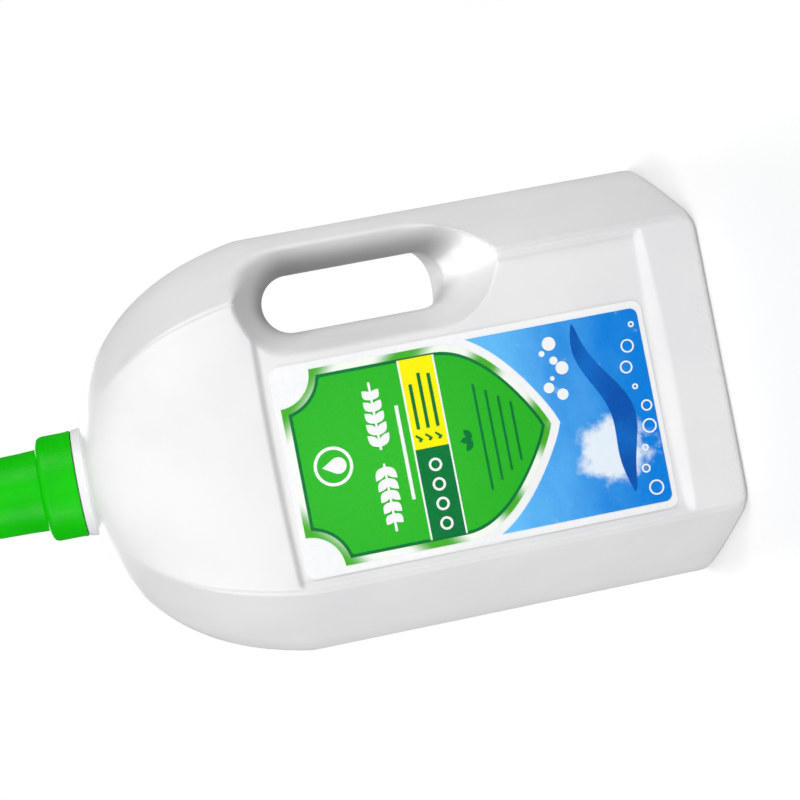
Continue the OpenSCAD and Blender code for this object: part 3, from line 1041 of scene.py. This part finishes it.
    def thread(self, angle: np.ndarray, z: float) -> np.ndarray:
        """Radius of the neck with its thread, a ridge that climbs one pitch a turn.

        The ridge stands out by its height times (1 - u squared) squared, where u is the
        distance from its crest over a third of the pitch. It fades in and out at its ends.
        """
        base = self.top_z + self.bead_h
        run = z - base - 2.6
        turn = angle / (2.0 * math.pi)
        off = (run / self.thread_pitch - turn + 0.5) % 1.0 - 0.5
        u = np.clip(np.abs(off) * 3.0, 0.0, 1.0)
        fade = float(step_up(0.4, 1.6, np.array(z - base))) * (
            1.0 - float(step_up(self.neck_h - 2.6, self.neck_h - 1.4, np.array(z - base))))
        return self.neck_r + self.thread_h * (1.0 - u * u) ** 2 * fade

    def neck_rows(self, left: int, right: int) -> list[dict[Side, tuple]]:
        """Rows over the bead, up the threaded neck, over its lip and down the bore.

        Args:
            left: Number of points left of the split.
            right: Number of points right of it.

        Returns:
            The rows, lowest outer row first.
        """
        z0 = self.top_z
        z1 = z0 + self.bead_h
        z2 = z1 + self.neck_h
        bead = even(rounded([
            (self.bead_r - 0.5, z0 - 0.3, 0), (self.bead_r, z0 + 0.3, 0.3),
            (self.bead_r - 0.45, z1, 0.7), (self.neck_r + 0.5, z1, 0.4),
            (self.neck_r, z1 + 0.6, 0)], 5), 1.0)
        rows = [self.ring(float(r), float(z), left, right) for r, z in bead]
        rows += [self.ring(self.thread, float(z), left, right)
                 for z in np.arange(z1 + 0.8, z2 - 0.7, 0.32)]
        lip = rounded([(self.neck_r, z2 - 0.6, 0), (self.neck_r, z2, 0.5), (self.bore_r, z2, 0.3),
                       (self.bore_r, z2 - 4.0, 0)], 4)
        rows += [self.ring(float(r), float(z), left, right) for r, z in lip]
        rows.append(self.ring(self.bore_r, self.top_z - 0.5, left, right))
        return rows

    def build(self) -> bpy.types.Object:
        """Builds the jug as one closed mesh and dresses it.

        Returns:
            The jug, which stands for the CAD node bottle_shell.
        """
        outer = self.skin(0.0)
        left, right = (p.shape[1] for p in outer[Side.FRONT])
        neck = self.neck_rows(left, right)
        inner = self.skin(self.wall_t)
        kept = self.kept_rows(inner[Side.FRONT][0])
        keep = np.unique(np.concatenate([np.arange(0, 18, 2), kept]))
        points, quads = [], []
        for side in Side:
            for part in (0, 1):
                rows = np.concatenate([
                    outer[side][part], *[row[side][part] for row in neck],
                    inner[side][part][keep][::-1]])
                faces = grid_faces(rows.shape[0], rows.shape[1]) + sum(len(p) for p in points)
                points.append(rows.reshape(-1, 3))
                quads.append(faces if side is Side.FRONT else faces[:, ::-1])
        vertices, faces = weld(np.concatenate(points) * MM, np.concatenate(quads))
        jug = make_object("jug", vertices, faces, 42.0)
        jug.data.materials.append(self.finish.material())
        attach(jug, "bottle")
        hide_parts("bottle_shell")
        return jug

    def kept_rows(self, rows: np.ndarray) -> np.ndarray:
        """Rows of the inner skin that are kept: every fourth, and all at the hole's ends."""
        z = rows[:, 0, 2]
        ends = [int(np.argmin(np.abs(z - (self.grip_z[0] - self.wall_t)))),
                int(np.argmin(np.abs(z - (self.grip_z[1] + self.wall_t))))]
        near = np.concatenate([np.arange(e - 2, e + 3) for e in ends])
        return np.concatenate([np.arange(0, len(z), 4), near, [len(z) - 1]])


# The cap


@dataclass
class MeasuringCap:
    """The green screw cap: a threaded collar with a measuring cup above it."""

    collar_r: float = 22.9
    collar_h: float = 15.1
    cup_r: float = 17.3
    cap_h: float = 38.1
    wall: float = 1.6
    rounding: float = 3.6
    lip: float = 0.25
    z0: float = 263.7
    thread_pitch: float = 4.2
    thread_h: float = 1.1
    thread_from: float = 263.1
    segments: int = 240
    finish: MouldedFinish = field(default_factory=lambda: MouldedFinish(
        "cap_green", srgb(16, 198, 0), srgb(10, 188, 1), (0.38, 0.5), 0.14))

    def profile(self) -> np.ndarray:
        """Section of the cap from the inside of its lower edge, over the top, and back.

        Returns:
            Radii and heights in millimetres.
        """
        r1, r2, w, h = self.collar_r, self.cup_r, self.wall, self.collar_h
        outer = [
            (r1 - w, 0.6, 0), (r1 - w + 0.3, 0.0, 0.2), (r1 - w + 0.7, -self.lip, 0.2),
            (r1 - 0.05, -self.lip, 0.35), (r1, 1.3, 0.3),
            (r1 - 0.22, 1.6, 0.2), (r1 - 0.3, h - 0.02, self.rounding), (r2 + 0.35, h, 0.8),
            (r2 - 0.05, h + 8.0, 0.5), (r2 - 0.35, self.cap_h, 2.0), (r2 - 5.0, self.cap_h, 1.0),
            (r2 - 5.6, self.cap_h - 0.25, 0.4), (0.0, self.cap_h - 0.25, 0)]
        inner = [
            (0.0, self.cap_h - w, 0), (r2 - w - 0.4, self.cap_h - w, 0.8),
            (r2 - w, h - w + 0.3, 0.3), (r1 - w, h - w, 0.4), (r1 - w, 0.6, 0)]
        return np.concatenate([even(rounded(outer, 10), 0.9), even(rounded(inner, 4), 0.42)])

    def build(self) -> bpy.types.Object:
        """Builds the cap as one closed mesh and dresses it.

        The thread inside stands half a pitch from the neck's, so that the two pass.

        Returns:
            The cap, which stands for the CAD node measuring_cap.
        """
        shape = self.profile()
        angle = np.linspace(0.0, 2.0 * math.pi, self.segments, endpoint=False)
        r = np.broadcast_to(shape[:, 0][:, None], (len(shape), self.segments)).copy()
        z = np.broadcast_to(shape[:, 1][:, None], r.shape)
        inside = (np.abs(r - (self.collar_r - self.wall)) < 1e-6) & (z > 0.61)
        run = self.z0 + z - self.thread_from
        off = (run / self.thread_pitch - angle[None, :] / (2.0 * math.pi)) % 1.0 - 0.5
        u = np.clip(np.abs(off) * 3.2, 0.0, 1.0)
        fade = step_up(1.2, 2.4, z) * (1.0 - step_up(self.collar_h - 5.2, self.collar_h - 3.6, z))
        r = r - np.where(inside, self.thread_h * (1.0 - u * u) ** 2 * fade, 0.0)
        points = np.stack([r * np.cos(angle), r * np.sin(angle), z + self.z0], axis=-1) * MM
        faces = grid_faces(len(shape), self.segments, wrap=True)
        vertices, faces = weld(points.reshape(-1, 3), faces)
        cap = make_object("cap", vertices, faces, 50.0)
        cap.data.materials.append(self.finish.material())
        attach(cap, "cap")
        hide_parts("measuring_cap")
        return cap


# Pieces that keep their CAD shape


@dataclass
class Fitments:
    """The pour spout and the sealing ring under the cap."""

    spout: MouldedFinish = field(default_factory=lambda: MouldedFinish(
        "natural_plastic", srgb(232, 234, 233), srgb(222, 226, 226), (0.28, 0.42), 0.5, 0.15))
    seal: MouldedFinish = field(default_factory=lambda: MouldedFinish(
        "seal_foam", srgb(226, 226, 220), srgb(214, 214, 206), (0.55, 0.75)))

    def dress(self, nodes: dict[str, bpy.types.Object]) -> None:
        """Gives the two nodes their materials.

        Args:
            nodes: CAD nodes by name.
        """
        for name, finish in (("pour_spout", self.spout), ("sealing_ring", self.seal)):
            set_material(nodes[name], finish.material())


@dataclass
class Labels:
    """The two label films and the print on the front one."""

    film: FilmFinish = field(default_factory=FilmFinish)
    inks: dict[str, InkFinish] = field(default_factory=lambda: {
        "blue_print": InkFinish("ink_blue", srgb(0, 128, 222), srgb(104, 194, 252), Ink.WATER,
                                (-0.027, 0.051)),
        "shield_rim_print": InkFinish("ink_pale_green", srgb(70, 176, 42), srgb(244, 250, 240),
                                      Ink.FOIL),
        "shield_print": InkFinish("ink_green", srgb(38, 178, 34), srgb(48, 188, 42), Ink.GLOW,
                                  (-0.0125, 0.145)),
        "dark_green_print": InkFinish("ink_dark_green", srgb(0, 122, 58), srgb(0, 112, 52)),
        "band_yellow_print": InkFinish("ink_yellow", srgb(252, 246, 0), srgb(248, 240, 0)),
        "wave_print": InkFinish("ink_deep_blue", srgb(0, 84, 176), srgb(10, 112, 204)),
        "white_print": InkFinish("ink_white", srgb(246, 247, 248), srgb(242, 244, 245)),
    })

    def dress(self, nodes: dict[str, bpy.types.Object]) -> None:
        """Gives the films and the print their materials.

        Args:
            nodes: CAD nodes by name.
        """
        film = self.film.material()
        for name in ("front_label", "back_label"):
            set_material(nodes[name], film)
        for name, finish in self.inks.items():
            set_material(nodes[name], finish.material())


def set_material(obj: bpy.types.Object, material: bpy.types.Material) -> None:
    """Puts a material in an object's own slots, and leaves its mesh as it is.

    Args:
        obj: The object to dress.
        material: The material it takes.
    """
    for slot in obj.material_slots:
        slot.link = "OBJECT"
        slot.material = material
    log.info("%s: dressed in %s", obj.name, material.name)


# Studio


@dataclass(frozen=True)
class Softbox:
    """A large, even light."""

    name: str
    place: Color
    aim: Color
    size: tuple[float, float]
    power: float

    def build(self) -> None:
        """Adds the light to the scene."""
        data = bpy.data.lights.new(self.name, "AREA")
        data.shape = "RECTANGLE"
        data.size, data.size_y = self.size
        data.energy = self.power
        obj = bpy.data.objects.new(self.name, data)
        back = np.array(self.place) - np.array(self.aim)
        flat = math.hypot(back[0], back[1])
        obj.rotation_euler = (math.atan2(flat, back[2]), 0.0, math.atan2(back[0], -back[1]))
        obj.location = self.place
        bpy.context.scene.collection.objects.link(obj)


@dataclass
class Studio:
    """White room: floor, world, lights and camera."""

    floor_tone: tuple[float, float] = (0.4, 0.58)
    floor_glow: float = 0.46
    floor_reach: tuple[float, float] = (0.18, 0.5)
    floor_half: float = 3.0
    ambient: float = 0.10
    eye: Color = (-0.00004, -0.52039, 0.23779)
    turn: tuple[float, float, float, float] = (0.464429, 0.434739, 0.523905, -0.566420)
    lens: float = 54.364
    shift: tuple[float, float] = (0.22, 0.06)
    lights: tuple[Softbox, ...] = (
        Softbox("left", (-1.05, -0.70, 0.62), (0.0, 0.0, 0.13), (0.7, 0.9), 11.0),
        Softbox("right", (1.05, -0.70, 0.62), (0.0, 0.0, 0.13), (0.7, 0.9), 11.0),
        Softbox("front", (0.0, -1.45, 0.52), (0.0, 0.0, 0.14), (0.9, 0.9), 4.2),
        Softbox("top", (0.0, -0.62, 1.16), (0.0, 0.0, 0.15), (1.3, 0.9), 2.35),
        Softbox("back", (0.0, 1.2, 0.9), (0.0, 0.0, 0.14), (0.8, 0.9), 15.0),
    )

    def floor(self) -> None:
        """Adds the pale floor, which keeps the shadow and fades into the white background.

        The camera sees it glow a little, so that it is white without more light on the
        bottle. What light it throws back is that of a duller floor.
        """
        corners = np.array([[-1.0, -1.0, 0.0], [1.0, -1.0, 0.0], [1.0, 1.0, 0.0], [-1.0, 1.0, 0.0]])
        obj = make_object("floor", corners * self.floor_half, np.array([[0, 1, 2, 3]]), 30.0)
        s = Shader("studio_floor")
        seen = s.tree.nodes.new("ShaderNodeLightPath").outputs["Is Camera Ray"]
        dull, pale = ((tone,) * 3 for tone in self.floor_tone)
        s.set(
            Base_Color=s.blend(seen, dull, pale),
            Roughness=0.7,
            Specular_IOR_Level=0.1,
            Emission_Color=(1.0, 1.0, 1.0),
            Emission_Strength=s.math("MULTIPLY", seen, self.floor_glow),
        )
        clear = s.tree.nodes.new("ShaderNodeBsdfTransparent")
        join = s.tree.nodes.new("ShaderNodeMixShader")
        away = s.length(s.axis("X"), s.axis("Y"))
        s.feed(join.inputs[0], s.math("MULTIPLY", seen, s.span(away, *self.floor_reach)))
        s.feed(join.inputs[1], s.surface.outputs[0])
        s.feed(join.inputs[2], clear.outputs[0])
        s.feed(s.out.inputs["Surface"], join.outputs[0])
        obj.data.materials.append(s.material)

    def world(self) -> None:
        """Makes the background white to the camera and a soft light to everything else."""
        world = bpy.data.worlds.new("studio")
        bpy.context.scene.world = world
        world.use_nodes = True
        tree = world.node_tree
        tree.nodes.clear()
        out = tree.nodes.new("ShaderNodeOutputWorld")
        seen, lit = (tree.nodes.new("ShaderNodeBackground") for _ in range(2))
        seen.inputs["Strength"].default_value = 1.0
        seen.inputs["Color"].default_value = (1.0, 1.0, 1.0, 1.0)
        lit.inputs["Strength"].default_value = self.ambient
        lit.inputs["Color"].default_value = (0.98, 0.99, 1.0, 1.0)
        path = tree.nodes.new("ShaderNodeLightPath")
        join = tree.nodes.new("ShaderNodeMixShader")
        tree.links.new(path.outputs["Is Camera Ray"], join.inputs[0])
        tree.links.new(lit.outputs[0], join.inputs[1])
        tree.links.new(seen.outputs[0], join.inputs[2])
        tree.links.new(join.outputs[0], out.inputs["Surface"])

    def camera(self) -> None:
        """Adds the camera that sees the bottle as the photo does."""
        data = bpy.data.cameras.new("camera")
        data.lens = self.lens
        data.shift_x, data.shift_y = self.shift
        data.clip_start, data.clip_end = 0.02, 20.0
        obj = bpy.data.objects.new("camera", data)
        obj.rotation_mode = "QUATERNION"
        obj.rotation_quaternion = Quaternion(self.turn)
        obj.location = self.eye
        bpy.context.scene.collection.objects.link(obj)
        bpy.context.scene.camera = obj

    def build(self) -> None:
        """Builds the whole studio."""
        self.floor()
        self.world()
        self.camera()
        for light in self.lights:
            light.build()
        bpy.context.scene.view_settings.view_transform = "Standard"
        log.info("studio: %d lights", len(self.lights))


def main() -> None:
    """Builds the bottle and its studio."""
    logging.basicConfig(level=logging.INFO, format="%(name)s: %(message)s")
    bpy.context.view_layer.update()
    Jug().build()
    MeasuringCap().build()
    Fitments().dress(frame["nodes"])
    Labels().dress(frame["nodes"])
    Studio().build()


if __name__ == "__main__":
    main()
